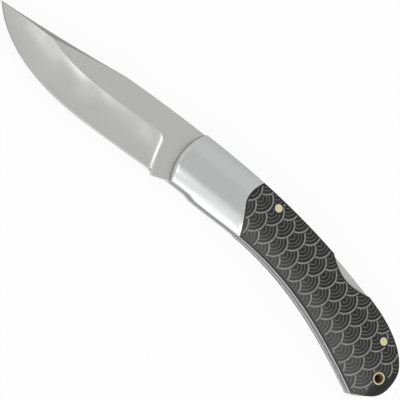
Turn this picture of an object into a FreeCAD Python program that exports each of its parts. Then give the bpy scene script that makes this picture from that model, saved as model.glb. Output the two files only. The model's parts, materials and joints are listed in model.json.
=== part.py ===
import FreeCAD, Part
import os
import re
import Sketcher

# Folding pocket knife with a back lock, open and lying on its reverse side. Sizes are in millimetres and
# degrees, measured from the blade pivot: X runs from the tip to the butt, Y from the cutting edge to the
# spine, and Z through the thickness with the show side up.

SIZES = {
    # Handle outline
    "handle_front": 10.1,
    "front_top_bow": 3.4,
    "front_foot_bow": 2.4,
    "front_bulge_rise": 1.7,
    "spine_rise": 12.7,
    "belly_drop": 8.8,
    "relief_depth": 0.7,
    "relief_reach": 0.5,
    "relief_slope_length": 3.5,
    "belly_bend_reach": 20.0,
    # Rear of the handle, set from the lanyard tube
    "tube_reach": 96.0,
    "tube_drop": 19.0,
    "corner_set": 4.7,
    "corner_below": 9.9,
    "rear_set": 5.8,
    "rear_above": 1.2,
    "spine_bend_set": 15.9,
    "spine_bend_above": 20.85,
    # Stack through the thickness
    "blade_thickness": 3.0,
    "washer_thickness": 0.24,
    "washer_clearance": 0.06,
    "liner_thickness": 1.5,
    "scale_thickness": 3.2,
    # Crown of the bolsters and scales: a round section swept along the bent handle, ground flat on top
    "crown_radius": 25.0,
    "crown_flat_depth": 0.25,
    "crown_half_width": 17.0,
    "crown_bend_reach": 12.0,
    "crown_tube_rise": 1.1,
    "butt_fall_length": 7.0,
    "butt_fall_depth": 2.1,
    "butt_angle": 25.0,
    # Joint between bolster and scale
    "joint_top_reach": 21.2,
    "joint_bend_reach": 18.8,
    "joint_bend_rise": 1.2,
    "joint_foot_reach": 24.25,
    "joint_gap": 0.05,
    # Thumb cut-out, set from the bend of the spine
    "thumb_rear_set": 3.1,
    "thumb_rear_above": 1.05,
    "thumb_rise_length": 8.5,
    "thumb_rise_height": 1.35,
    "thumb_fall_length": 12.4,
    "thumb_fall_height": 6.1,
    # Blade
    "blade_reach": 95.5,
    "tip_rise": 6.1,
    "spine_flat_set": 9.0,
    "clip_reach": 43.0,
    "clip_fall": 0.95,
    "clip_sag": 0.5,
    "edge_belly_reach": 48.0,
    "edge_drop": 10.3,
    "heel_reach": 15.8,
    "heel_drop": 9.3,
    "kick_set": 1.9,
    "kick_height": 1.15,
    "swedge_drop": 3.6,
    "swedge_tip_land": 0.14,
    "edge_land": 0.1,
    "bevel_width": 0.5,
    "bevel_land": 0.4,
    "grind_width": 13.75,
    "grind_run_out": 1.0,
    "hollow_depth": 0.3,
    "plunge_angle": 15.0,
    "fold_angle": 169.0,
    # Tang and back lock
    "tang_radius": 7.4,
    "hook_front": 1.2,
    "hook_length": 3.2,
    "hook_depth": 0.9,
    "lock_clearance": 0.15,
    "face_clearance": 0.4,
    "bar_clearance": 0.2,
    "bar_relief": 0.9,
    "boss_radius": 2.6,
    "bar_tail_set": 1.6,
    "bar_tail_depth": 4.05,
    "tail_gap": 0.8,
    "spring_reach": 14.5,
    "spring_gap": 0.1,
    "spring_thickness": 1.5,
    "spring_root_set": 1.0,
    "spring_root_thickness": 1.8,
    "root_front_length": 4.6,
    "root_rear_length": 3.6,
    "root_depth": 3.6,
    "spacer_gap": 0.3,
    "spacer_wall": 1.75,
    # Pins, washers and tube
    "pivot_diameter": 5.0,
    "pin_diameter": 3.0,
    "lock_pin_set": 8.6,
    "lock_pin_depth": 5.3,
    "rear_pin_set": 6.2,
    "rear_pin_above": 11.8,
    "tube_diameter": 4.5,
    "tube_bore": 3.5,
    "washer_diameter": 11.0,
    "dowel_diameter": 2.0,
    "dowel_depth": 1.6,
    "dowel_set": 6.8,
    "dowel_drop": 2.5,
    "running_clearance": 0.03,
    "fixed_clearance": 0.02,
    "cut_overrun": 2.0,
}

# Poles of the cubic curves, as shares of the way from one end to the other in X and Y
BELLY_CURVE_SHARES = ((0.351, 0.015), (0.617, 0.293))
HEEL_CURVE_SHARES = ((0.59, 0.252), (1.0, 0.396))
BUTT_CURVE_SHARES = ((0.0, 0.483), (0.424, 0.83))
SPINE_CURVE_SHARES = ((0.334, 0.7235), (0.654, 1.0))
JOINT_CURVE_SHARES = ((1.25, 0.365), (1.75, 0.713))
THUMB_FALL_SHARES = ((0.25, 0.533), (0.597, 1.0))
THUMB_RISE_SHARES = ((0.353, 0.0), (0.647, 0.3))
BLADE_SPINE_SHARES = ((0.382, 0.0), (0.735, 0.42))
EDGE_BELLY_SHARES = ((0.463, 0.0), (0.817, 0.354))
EDGE_HEEL_SHARES = ((0.317, 0.45), (0.69, 1.0))
CROWN_LINE_SHARES = ((1 / 3, 0), (2 / 3, 1 / 3))

# Lower end of the tang's round, how steeply the grind runs out, how far past the tube the crown runs, the
# points of the butt's fall, and where the lock bar's boss leaves its round
TANG_FOOT_SHARE = 0.43
RUN_OUT_SHARE = 0.2
CROWN_RUN_SHARE = 1.1
FALL_START_SHARE = 0.05
FALL_MIDDLE_SHARE = 0.35
FALL_MIDDLE_DEPTH_SHARE = 0.42
FALL_END_SHARE = 0.3
FALL_END_DEPTH_SHARE = 1.69
BOSS_SIDE_SHARE = 0.9
BOSS_SIDE_DROP_SHARE = 0.436

SIDES = {"show": 1, "reverse": -1}

doc = FreeCAD.newDocument("FoldingKnife")
sheet = doc.addObject("Spreadsheet::Sheet", "Sizes")
for row, (alias, size) in enumerate(SIZES.items(), start=1):
    cell = f"A{row}"
    sheet.set(cell, str(size))
    sheet.setAlias(cell, alias)
doc.recompute()


# Formulas: every length is a formula over the sheet's aliases

def value(formula):
    return float(sheet.evalExpression(formula))


def bound(formula):
    return re.sub(r"[a-z][a-z_]+", lambda word: "Sizes." + word[0] if word[0] in SIZES else word[0], formula)


def between(start, end, share_x, share_y):
    return (
        f"({start[0]}) + {share_x} * (({end[0]}) - ({start[0]}))",
        f"({start[1]}) + {share_y} * (({end[1]}) - ({start[1]}))",
    )


def curve(start, end, shares):
    return [between(start, end, *share) for share in shares] + [end]


# Sketches: an outline is a start point and pieces, where one point is a line, two an arc, three a cubic curve

def new_sketch(body, name, plane="XY_Plane", offset=("0", "0", "0"), turn_axis=None, turn="0"):
    sketch = body.newObject("Sketcher::SketchObject", name)
    support = next(item for item in body.Origin.OriginFeatures if item.Role == plane)
    sketch.AttachmentSupport = [(support, "")]
    sketch.MapMode = "FlatFace"
    place = FreeCAD.Placement()
    if turn_axis:
        place.Rotation = FreeCAD.Rotation(FreeCAD.Vector(*turn_axis), value(turn))
    sketch.AttachmentOffset = place
    for axis, formula in zip("xyz", offset):
        sketch.setExpression(f"AttachmentOffset.Base.{axis}", bound(formula))
    if turn_axis:
        sketch.setExpression("AttachmentOffset.Rotation.Angle", bound(turn))
    return sketch


def vector(point):
    return FreeCAD.Vector(value(point[0]), value(point[1]), 0)


def hold(sketch, geometry, position, point):
    for kind, formula in zip(("DistanceX", "DistanceY"), point):
        index = sketch.addConstraint(Sketcher.Constraint(kind, -1, 1, geometry, position, value(formula)))
        sketch.setExpression(f"Constraints[{index}]", bound(formula))


def draw_piece(sketch, start, piece):
    points = [vector(point) for point in (start, *piece)]
    if len(piece) == 1:
        return sketch.addGeometry(Part.LineSegment(*points))
    if len(piece) == 2:
        arc = sketch.addGeometry(Part.Arc(*points))
        middle = sketch.addGeometry(Part.Point(points[1]), True)
        sketch.addConstraint(Sketcher.Constraint("PointOnObject", middle, 1, arc))
        hold(sketch, middle, 1, piece[0])
        return arc
    cubic = Part.BSplineCurve()
    cubic.buildFromPolesMultsKnots(points, [4, 4], [0.0, 1.0], False, 3)
    geometry = sketch.addGeometry(cubic)
    first_pole = sketch.GeometryCount
    sketch.exposeInternalGeometry(geometry)
    for index, pole in enumerate(piece[:-1], start=first_pole + 1):
        hold(sketch, index, 3, pole)
    return geometry


def end_position(sketch, geometry, point):
    # An arc is stored anticlockwise, so its first vertex may be either end
    first = sketch.getPoint(geometry, 1)
    last = sketch.getPoint(geometry, 2)
    target = vector(point)
    return 1 if first.distanceToPoint(target) < last.distanceToPoint(target) else 2


def draw(sketch, start, *pieces, closed=True):
    drawn = []
    point = start
    for piece in pieces:
        geometry = draw_piece(sketch, point, piece)
        drawn.append((geometry, point, piece[-1]))
        point = piece[-1]
    for geometry, _, end in drawn:
        hold(sketch, geometry, end_position(sketch, geometry, end), end)
    if not closed:
        hold(sketch, drawn[0][0], end_position(sketch, drawn[0][0], start), start)
    joins = zip(drawn, drawn[1:] + drawn[:1]) if closed else zip(drawn, drawn[1:])
    for (before, _, end), (after, begin, _) in joins:
        sketch.addConstraint(Sketcher.Constraint(
            "Coincident",
            before, end_position(sketch, before, end),
            after, end_position(sketch, after, begin),
        ))


def draw_circle(sketch, centre, diameter):
    geometry = sketch.addGeometry(
        Part.Circle(vector(centre), FreeCAD.Vector(0, 0, 1), value(diameter) / 2)
    )
    hold(sketch, geometry, 3, centre)
    index = sketch.addConstraint(Sketcher.Constraint("Diameter", geometry, value(diameter)))
    sketch.setExpression(f"Constraints[{index}]", bound(diameter))


def draw_rectangle(sketch, left, low, right, high):
    draw(sketch, (left, low), [(right, low)], [(right, high)], [(left, high)], [(left, low)])


# Features

def new_body(label):
    body = doc.addObject("PartDesign::Body", label)
    body.Label = label
    return body


def pad(body, sketch, length, symmetric=False, reverse=False):
    feature = body.newObject("PartDesign::Pad", sketch.Name + "Pad")
    feature.Profile = sketch
    feature.setExpression("Length", bound(length))
    feature.SideType = "Symmetric" if symmetric else "One side"
    feature.Reversed = reverse
    doc.recompute()
    return feature


def must_remove(body, make):
    # Each cut takes something off its solid
    doc.recompute()
    before = body.Shape.Volume
    feature = make()
    doc.recompute()
    if not body.Shape.Volume < before:
        raise RuntimeError(f"{feature.Name} removes nothing from {body.Label}")
    return feature


def cut_through(body, sketch):
    def make():
        feature = body.newObject("PartDesign::Pocket", sketch.Name + "Cut")
        feature.Profile = sketch
        feature.Type = "ThroughAll"
        feature.SideType = "Symmetric"
        return feature
    return must_remove(body, make)


def keep_only(body, start, *pieces):
    sketch = new_sketch(body, body.Name + "Trim")
    draw_rectangle(
        sketch,
        "-handle_front - 2 * cut_overrun", f"{CORNER[1]} - 2 * cut_overrun",
        f"{REAR[0]} + 2 * cut_overrun", "spine_rise + 2 * cut_overrun",
    )
    draw(sketch, start, *pieces)
    cut_through(body, sketch)


def bore(body, *holes):
    sketch = new_sketch(body, body.Name + "Bores")
    for centre, diameter in holes:
        draw_circle(sketch, centre, diameter)
    cut_through(body, sketch)


# Places that several pieces share

PIVOT = ("0", "0")
TUBE = ("tube_reach", "-tube_drop")
LOCK_PIN = ("(joint_top_reach + lock_pin_set)", "(spine_rise - lock_pin_depth)")
REAR_PIN = ("(tube_reach - rear_pin_set)", "(rear_pin_above - tube_drop)")
CORNER = ("(tube_reach - corner_set)", "(-tube_drop - corner_below)")
REAR = ("(tube_reach + rear_set)", "(rear_above - tube_drop)")
SPINE_BEND = ("(tube_reach - spine_bend_set)", "(spine_bend_above - tube_drop)")
BAR_TAIL = (f"({SPINE_BEND[0]} - bar_tail_set)", f"({SPINE_BEND[1]} - bar_tail_depth)")
DOWEL = ("joint_bend_reach - dowel_set", "-dowel_drop")

PIVOT_BORE = "pivot_diameter + 2 * fixed_clearance"
PIN_BORE = "pin_diameter + 2 * fixed_clearance"
TUBE_SEAT = "tube_diameter + 2 * fixed_clearance"
DOWEL_BORE = "dowel_diameter + 2 * fixed_clearance"

LINER_FACE = "(blade_thickness / 2 + washer_thickness + washer_clearance)"
SLOT_WIDTH = f"2 * {LINER_FACE}"
SCALE_FACE = f"({LINER_FACE} + liner_thickness)"
CROWN_TOP = f"({SCALE_FACE} + scale_thickness)"
ABOVE_SPINE = "spine_rise + cut_overrun"
BELOW_BUTT = f"{CORNER[1]} - cut_overrun"
PAST_BUTT = f"{REAR[0]} + cut_overrun"


# Outlines

def draw_handle(sketch):
    top = ("front_top_bow - handle_front", "spine_rise")
    nose = ("-handle_front", "front_bulge_rise")
    foot = ("front_foot_bow - handle_front", "-belly_drop + relief_depth")
    relief = ("relief_reach", "-belly_drop + relief_depth")
    step = ("relief_reach + relief_slope_length", "-belly_drop")
    bend = ("belly_bend_reach", "-belly_drop")
    draw(
        sketch, top, [nose, foot], [relief], [step], [bend],
        curve(bend, CORNER, BELLY_CURVE_SHARES),
        curve(CORNER, REAR, HEEL_CURVE_SHARES),
        curve(REAR, SPINE_BEND, BUTT_CURVE_SHARES),
        curve(SPINE_BEND, top, SPINE_CURVE_SHARES),
    )


def handle_plate(label, side, face, thickness):
    body = new_body(label)
    sketch = new_sketch(body, label + "_outline", offset=("0", "0", f"{side} * {face}"))
    draw_handle(sketch)
    pad(body, sketch, thickness, reverse=side < 0)
    return body


def handle_core(label, thickness):
    body = new_body(label)
    sketch = new_sketch(body, label + "_outline")
    draw_handle(sketch)
    pad(body, sketch, thickness, symmetric=True)
    return body


def joint_line(gap):
    top = (f"joint_top_reach + {gap}", "spine_rise")
    bend = (f"joint_bend_reach + {gap}", "joint_bend_rise")
    foot = (f"joint_foot_reach + {gap}", "-belly_drop")
    return top, curve(top, bend, JOINT_CURVE_SHARES), foot


def cut_thumb_notch(body):
    rear = (f"{SPINE_BEND[0]} - thumb_rear_set", f"{SPINE_BEND[1]} + thumb_rear_above")
    floor = (f"{rear[0]} - thumb_rise_length", f"{rear[1]} - thumb_rise_height")
    front = (f"{floor[0]} - thumb_fall_length", f"{floor[1]} + thumb_fall_height")
    sketch = new_sketch(body, body.Name + "Thumb")
    draw(
        sketch, front,
        curve(front, floor, THUMB_FALL_SHARES),
        curve(floor, rear, THUMB_RISE_SHARES),
        [(rear[0], ABOVE_SPINE)], [(front[0], ABOVE_SPINE)], [front],
    )
    cut_through(body, sketch)


# Crown of the handle, cut alike on every piece that ends in it

def crown(body, side):
    name = f"{body.Name}Crown{'Show' if side > 0 else 'Reverse'}"
    middle = "(spine_rise - belly_drop) / 2"
    front = ("-handle_front - cut_overrun", middle)
    bend = ("crown_bend_reach", middle)
    rear = (
        f"crown_bend_reach + {CROWN_RUN_SHARE} * (tube_reach - crown_bend_reach)",
        f"{middle} - {CROWN_RUN_SHARE} ^ 2 * ({middle} + tube_drop - crown_tube_rise)",
    )
    path = new_sketch(body, name + "Path")
    draw(path, front, [bend], curve(bend, rear, CROWN_LINE_SHARES), closed=False)
    sketch = new_sketch(body, name, "YZ_Plane", offset=(front[1], "0", front[0]))
    arc_top = f"{CROWN_TOP} + crown_flat_depth"
    arc_end = f"{arc_top} - crown_radius + sqrt(crown_radius ^ 2 - crown_half_width ^ 2)"
    lid = f"{side} * ({arc_top} + cut_overrun)"
    start = ("-crown_half_width", f"{side} * ({arc_end})")
    draw(
        sketch, start,
        [("0", f"{side} * ({arc_top})"), ("crown_half_width", f"{side} * ({arc_end})")],
        [("crown_half_width", lid)], [("-crown_half_width", lid)], [start],
    )
    feature = body.newObject("PartDesign::SubtractivePipe", name + "Sweep")
    feature.Profile = sketch
    feature.Spine = (path, ["Edge1", "Edge2"])
    doc.recompute()
    return feature


def butt_fall(body, side):
    sketch = new_sketch(
        body, f"{body.Name}Fall{'Show' if side > 0 else 'Reverse'}", "XZ_Plane",
        offset=(REAR[0], "0", f"-{REAR[1]}"), turn_axis=(0, 1, 0), turn="-butt_angle",
    )
    start = ("-butt_fall_length", f"{side} * ({CROWN_TOP} + {FALL_START_SHARE} * butt_fall_depth)")
    middle = (
        f"-{FALL_MIDDLE_SHARE} * butt_fall_length",
        f"{side} * ({CROWN_TOP} - {FALL_MIDDLE_DEPTH_SHARE} * butt_fall_depth)",
    )
    end = (
        f"{FALL_END_SHARE} * butt_fall_length",
        f"{side} * ({CROWN_TOP} - {FALL_END_DEPTH_SHARE} * butt_fall_depth)",
    )
    lid = f"{side} * ({CROWN_TOP} + cut_overrun)"
    draw(sketch, start, [middle, end], [(end[0], lid)], [(start[0], lid)], [start])
    cut_through(body, sketch)


# Blade

CLIP = ("-clip_reach", "spine_rise - clip_fall")
CLIP_MIDDLE = ("-(clip_reach + blade_reach) / 2", "(spine_rise - clip_fall + tip_rise) / 2 - clip_sag")


def edge_points():
    heel = ("-heel_reach", "-heel_drop")
    belly = ("-edge_belly_reach", "-edge_drop")
    tip = ("-blade_reach", "tip_rise")
    return heel, belly, tip


def lock_notch():
    front = "-hook_front - face_clearance"
    rear = "hook_length - hook_front + lock_clearance"
    floor = "tang_radius - hook_depth - lock_clearance"
    return front, rear, floor


def draw_blade(sketch):
    heel, belly, tip = edge_points()
    front, rear, floor = lock_notch()
    spine = ("-spine_flat_set", "spine_rise")
    kick = ("kick_set - heel_reach", "-heel_drop - kick_height")
    foot = (f"-{TANG_FOOT_SHARE} * tang_radius", f"-sqrt(1 - {TANG_FOOT_SHARE} ^ 2) * tang_radius")
    draw(
        sketch, (front, "spine_rise"), [spine],
        curve(spine, CLIP, BLADE_SPINE_SHARES),
        [CLIP_MIDDLE, tip],
        curve(belly, tip, EDGE_BELLY_SHARES)[1::-1] + [belly],
        curve(heel, belly, EDGE_HEEL_SHARES)[1::-1] + [heel],
        [kick], [foot],
        [("tang_radius", "0"), (rear, f"sqrt(tang_radius ^ 2 - ({rear}) ^ 2)")],
        [(rear, floor)], [(front, floor)], [(front, "spine_rise")],
    )


def grind_swedge(body, side):
    # A flat facet that starts at the clip, widens along it and is swedge_drop wide at the tip
    slope = f"atan(({CLIP[1]} - tip_rise + swedge_drop) / (blade_reach - clip_reach))"
    width = f"swedge_drop * cos({slope})"
    fall = f"(blade_thickness - swedge_tip_land) / 2 / ({width})"
    sketch = new_sketch(
        body, f"Swedge{'Show' if side > 0 else 'Reverse'}", "YZ_Plane",
        offset=(CLIP[1], "0", CLIP[0]), turn_axis=(0, 1, 0), turn=slope,
    )
    face = "blade_thickness / 2"
    inner = ("-cut_overrun", f"{side} * ({face} + cut_overrun * {fall})")
    outer = (f"{width} + cut_overrun", f"{side} * ({face} - ({width} + cut_overrun) * {fall})")
    lid = f"{side} * ({face} + 2 * cut_overrun)"
    draw(sketch, inner, [outer], [(outer[0], lid)], [(inner[0], lid)], [inner])
    cut_through(body, sketch)


def hollow_grind(body, path, side):
    heel = edge_points()[0]
    sketch = new_sketch(
        body, f"Grind{'Show' if side > 0 else 'Reverse'}", "YZ_Plane",
        offset=(heel[1], "0", heel[0]), turn_axis=(0, 1, 0), turn="plunge_angle",
    )
    shoulder = ("bevel_width", f"{side} * bevel_land / 2")
    top = (
        "grind_width + grind_run_out",
        f"{side} * (blade_thickness / 2 + {RUN_OUT_SHARE} * grind_run_out)",
    )
    hollow = (
        f"({shoulder[0]} + {top[0]}) / 2",
        f"({shoulder[1]} + {top[1]}) / 2 - {side} * hollow_depth",
    )
    lid = f"{side} * (blade_thickness / 2 + cut_overrun)"
    start = ("-cut_overrun", f"{side} * edge_land / 2")
    draw(
        sketch, start, [("0", start[1])], [shoulder], [hollow, top],
        [(top[0], lid)], [(start[0], lid)], [start],
    )

    def make():
        feature = body.newObject("PartDesign::SubtractivePipe", sketch.Name + "Sweep")
        feature.Profile = sketch
        feature.Spine = (path, ["Edge1", "Edge2"])
        return feature
    must_remove(body, make)


def cut_closed_seat(body):
    front, rear, floor = lock_notch()
    sketch = new_sketch(body, "ClosedSeat", turn_axis=(0, 0, 1), turn="-fold_angle")
    draw_rectangle(sketch, front, floor, rear, "tang_radius + cut_overrun")
    cut_through(body, sketch)


def make_blade():
    body = new_body("blade")
    sketch = new_sketch(body, "BladeOutline")
    draw_blade(sketch)
    pad(body, sketch, "blade_thickness", symmetric=True)
    heel, belly, tip = edge_points()
    path = new_sketch(body, "EdgePath")
    draw(
        path, heel, curve(heel, belly, EDGE_HEEL_SHARES), curve(belly, tip, EDGE_BELLY_SHARES),
        closed=False,
    )
    for side in SIDES.values():
        grind_swedge(body, side)
        hollow_grind(body, path, side)
    cut_closed_seat(body)
    bore(body, (PIVOT, "pivot_diameter + 2 * running_clearance"))
    return body


# Handle plates, one of each on both sides

def make_liner(name, side):
    body = handle_plate(f"{name}_liner", side, LINER_FACE, "liner_thickness")
    cut_thumb_notch(body)
    bore(
        body, (PIVOT, PIVOT_BORE), (LOCK_PIN, PIN_BORE), (REAR_PIN, PIN_BORE), (TUBE, TUBE_SEAT),
        (DOWEL, DOWEL_BORE),
    )
    return body


def make_bolster(name, side):
    body = handle_plate(f"{name}_bolster", side, SCALE_FACE, "scale_thickness")
    top, joint, foot = joint_line("0")
    below = "-belly_drop - cut_overrun"
    ahead = "-handle_front - cut_overrun"
    keep_only(
        body, (top[0], ABOVE_SPINE), [top], joint, [foot], [(foot[0], below)],
        [(ahead, below)], [(ahead, ABOVE_SPINE)], [(top[0], ABOVE_SPINE)],
    )
    must_remove(body, lambda: crown(body, side))
    bore(body, (PIVOT, PIVOT_BORE))
    sketch = new_sketch(body, body.Name + "Dowel", offset=("0", "0", f"{side} * {SCALE_FACE}"))
    draw_circle(sketch, DOWEL, DOWEL_BORE)

    def make():
        feature = body.newObject("PartDesign::Pocket", sketch.Name + "Cut")
        feature.Profile = sketch
        feature.setExpression("Length", bound("dowel_depth + fixed_clearance"))
        feature.Reversed = side > 0
        return feature
    must_remove(body, make)
    return body


def make_scale(name, side):
    body = handle_plate(f"{name}_scale", side, SCALE_FACE, "scale_thickness")
    top, joint, foot = joint_line("joint_gap")
    keep_only(
        body, (top[0], ABOVE_SPINE), [top], joint, [foot], [(foot[0], BELOW_BUTT)],
        [(PAST_BUTT, BELOW_BUTT)], [(PAST_BUTT, ABOVE_SPINE)], [(top[0], ABOVE_SPINE)],
    )
    must_remove(body, lambda: crown(body, side))
    butt_fall(body, side)
    cut_thumb_notch(body)
    bore(body, (LOCK_PIN, PIN_BORE), (REAR_PIN, PIN_BORE), (TUBE, TUBE_SEAT))
    return body


def make_washer(name, side):
    body = new_body(f"{name}_washer")
    sketch = new_sketch(body, body.Name + "Ring", offset=("0", "0", f"{side} * {LINER_FACE}"))
    draw_circle(sketch, PIVOT, "washer_diameter")
    draw_circle(sketch, PIVOT, PIVOT_BORE)
    pad(body, sketch, "washer_thickness", reverse=side > 0)
    return body


def make_dowel(name, side):
    body = new_body(f"{name}_bolster_dowel")
    sketch = new_sketch(body, body.Name + "Round", offset=("0", "0", f"{side} * {LINER_FACE}"))
    draw_circle(sketch, DOWEL, "dowel_diameter")
    pad(body, sketch, "liner_thickness + dowel_depth", reverse=side < 0)
    return body


# Pieces between the liners

def boss_side(sign):
    return (
        f"({LOCK_PIN[0]} + {sign * BOSS_SIDE_SHARE} * boss_radius)",
        f"({LOCK_PIN[1]} - {BOSS_SIDE_DROP_SHARE} * boss_radius)",
    )


def make_lock_bar():
    body = handle_core("lock_bar", f"{SLOT_WIDTH} - 2 * bar_clearance")
    hook_rear = "hook_length - hook_front"
    hook_foot = "tang_radius + lock_clearance"
    underside = "tang_radius + bar_relief"
    start = ("-hook_front", ABOVE_SPINE)
    keep_only(
        body, start, [("-hook_front", hook_foot)], [(hook_rear, hook_foot)],
        [(hook_rear, underside)], [(f"{LOCK_PIN[0]} - 2 * boss_radius", underside)],
        [boss_side(-1)], [(LOCK_PIN[0], f"{LOCK_PIN[1]} - boss_radius"), boss_side(1)],
        [BAR_TAIL], [(BAR_TAIL[0], ABOVE_SPINE)], [start],
    )
    bore(body, (LOCK_PIN, "pin_diameter + 2 * running_clearance"))
    return body


def make_lock_spring():
    body = handle_core("lock_spring", SLOT_WIDTH)
    front = f"{BAR_TAIL[0]} + tail_gap"
    rear = f"{REAR_PIN[0]} + root_rear_length"
    root_top = f"{BAR_TAIL[1]} - spring_root_set"
    root_foot = f"{REAR_PIN[1]} - root_depth"
    tip = f"({BAR_TAIL[0]} - spring_reach)"
    boss_x, boss_y = boss_side(1)
    way = f"({tip} - {boss_x}) / ({BAR_TAIL[0]} - {boss_x})"
    tip_top = f"{boss_y} + {way} * ({BAR_TAIL[1]} - {boss_y}) - spring_gap"
    start = (front, ABOVE_SPINE)
    keep_only(
        body, start, [(front, root_top)], [(tip, tip_top)], [(tip, f"{tip_top} - spring_thickness")],
        [(front, f"{root_top} - spring_root_thickness")],
        [(f"{REAR_PIN[0]} - root_front_length", root_foot)], [(rear, root_foot)],
        [(rear, ABOVE_SPINE)], [start],
    )
    bore(body, (REAR_PIN, PIN_BORE))
    return body


def make_butt_spacer():
    body = handle_core("butt_spacer", SLOT_WIDTH)
    top = f"{REAR_PIN[0]} + root_rear_length + spacer_gap"
    wall = "tube_reach - tube_diameter / 2 - spacer_wall"
    tail = "tube_reach - tube_diameter / 2"
    start = (top, ABOVE_SPINE)
    keep_only(
        body, start, [(top, "-tube_drop + 2 * root_depth")], [(wall, "-tube_drop + root_depth")],
        [(wall, "-tube_drop")], [(tail, "-tube_drop - tube_diameter")], [(tail, BELOW_BUTT)],
        [(PAST_BUTT, BELOW_BUTT)], [(PAST_BUTT, ABOVE_SPINE)], [start],
    )
    bore(body, (TUBE, TUBE_SEAT))
    return body


# Pins and tube: through the whole handle, ground flush with the crown on both sides

def make_pin(label, place, diameter):
    body = new_body(label)
    sketch = new_sketch(body, label + "_round")
    draw_circle(sketch, place, diameter)
    pad(body, sketch, f"2 * ({CROWN_TOP})", symmetric=True)
    for side in SIDES.values():
        crown(body, side)
    return body


def make_lanyard_tube():
    body = new_body("lanyard_tube")
    sketch = new_sketch(body, "TubeRing")
    draw_circle(sketch, TUBE, "tube_diameter")
    draw_circle(sketch, TUBE, "tube_bore")
    pad(body, sketch, f"2 * ({CROWN_TOP})", symmetric=True)
    for side in SIDES.values():
        crown(body, side)
        butt_fall(body, side)
    return body


parts = [make_blade(), make_lock_bar(), make_lock_spring(), make_butt_spacer()]
parts.append(make_pin("pivot_pin", PIVOT, "pivot_diameter"))
parts.append(make_pin("lock_bar_pin", LOCK_PIN, "pin_diameter"))
parts.append(make_pin("rear_pin", REAR_PIN, "pin_diameter"))
parts.append(make_lanyard_tube())
for side_name, side_sign in SIDES.items():
    parts.append(make_liner(side_name, side_sign))
    parts.append(make_bolster(side_name, side_sign))
    parts.append(make_scale(side_name, side_sign))
    parts.append(make_washer(side_name, side_sign))
    parts.append(make_dowel(side_name, side_sign))

# The origin is the middle of the underside of the open knife
whole = FreeCAD.BoundBox()
for part in parts:
    whole.add(part.Shape.optimalBoundingBox())
origin = FreeCAD.Vector(whole.Center.x, whole.Center.y, whole.ZMin)
for part in parts:
    part.Placement.Base = -origin
doc.recompute()

failed = [item.Label for item in doc.Objects if "Invalid" in item.State or "Error" in item.State]
failed += [part.Label for part in parts if part.Shape.isNull() or not part.Shape.isValid()]
if failed:
    raise RuntimeError(f"failed pieces: {failed}")

os.makedirs("parts", exist_ok=True)
for part in parts:
    part.Shape.exportStep(f"parts/{part.Label}.step")
print("overall size", whole.XLength, whole.YLength, whole.ZLength)
print("pivot at", -origin)
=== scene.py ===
import json
import math
from collections import namedtuple

import bmesh
import bpy
import numpy as np
from mathutils import Matrix, Vector
from mathutils.geometry import delaunay_2d_cdt


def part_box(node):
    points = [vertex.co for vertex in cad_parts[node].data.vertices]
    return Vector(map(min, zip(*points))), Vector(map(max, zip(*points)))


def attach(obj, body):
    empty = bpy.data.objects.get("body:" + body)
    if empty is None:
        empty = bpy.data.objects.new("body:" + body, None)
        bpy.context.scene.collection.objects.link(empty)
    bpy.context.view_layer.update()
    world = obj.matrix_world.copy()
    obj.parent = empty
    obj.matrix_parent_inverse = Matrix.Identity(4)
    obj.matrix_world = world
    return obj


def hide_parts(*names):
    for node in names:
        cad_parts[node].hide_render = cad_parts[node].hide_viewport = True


# Folding pocket knife, open, on its reverse side

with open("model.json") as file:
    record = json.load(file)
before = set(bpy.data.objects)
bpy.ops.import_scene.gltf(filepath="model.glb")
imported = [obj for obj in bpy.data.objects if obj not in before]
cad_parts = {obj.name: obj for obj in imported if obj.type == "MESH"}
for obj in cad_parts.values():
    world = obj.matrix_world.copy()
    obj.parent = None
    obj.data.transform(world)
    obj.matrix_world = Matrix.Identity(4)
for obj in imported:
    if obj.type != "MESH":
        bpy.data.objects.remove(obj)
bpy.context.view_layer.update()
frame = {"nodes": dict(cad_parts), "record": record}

# The frame, the camera and the studio are in metres; outlines and heights are in millimetres
MM = 0.001
SIDES = {"show": 1, "reverse": -1}


# Places, from the frame

def corners(node):
    low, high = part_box(node)
    return np.array(low) / MM, np.array(high) / MM


JOINTS = {joint["name"]: np.array(joint["pos_m"]) / MM for joint in frame["record"]["behaviour"]["joints"]}
MOUNTS = {mount["name"]: np.array(mount["pos_m"]) / MM for mount in frame["record"]["mounts"]}
PIVOT = JOINTS["blade_fold"][:2]
MIDDLE = JOINTS["blade_fold"][2]
TUBE = MOUNTS["lanyard_hole"][:2]
LINER_FACE = corners("show_liner")[1][2]
CROWN_TOP = corners("show_bolster")[1][2]
REAR_REACH = corners("show_liner")[1][0]


# Plane geometry on arrays of points

HALVINGS = 30


def unit(vectors):
    return vectors / np.linalg.norm(vectors, axis=-1, keepdims=True)


def left_of(vectors):
    return np.stack([-vectors[..., 1], vectors[..., 0]], axis=-1)


def direction(angle):
    return np.array([math.cos(angle), math.sin(angle)])


def distance(points, line):
    # From each point to the nearest place on a line of points
    start = line[:-1]
    along = line[1:] - start
    offset = points[:, None] - start[None]
    share = (offset * along).sum(axis=2) / (along ** 2).sum(axis=1)
    gap = offset - np.clip(share, 0, 1)[..., None] * along
    return np.linalg.norm(gap, axis=2).min(axis=1)


def closed(loop):
    return np.concatenate([loop, loop[:1]])


def area(loop):
    following = np.roll(loop, -1, axis=0)
    return (loop[:, 0] * following[:, 1] - loop[:, 1] * following[:, 0]).sum() / 2


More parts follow.
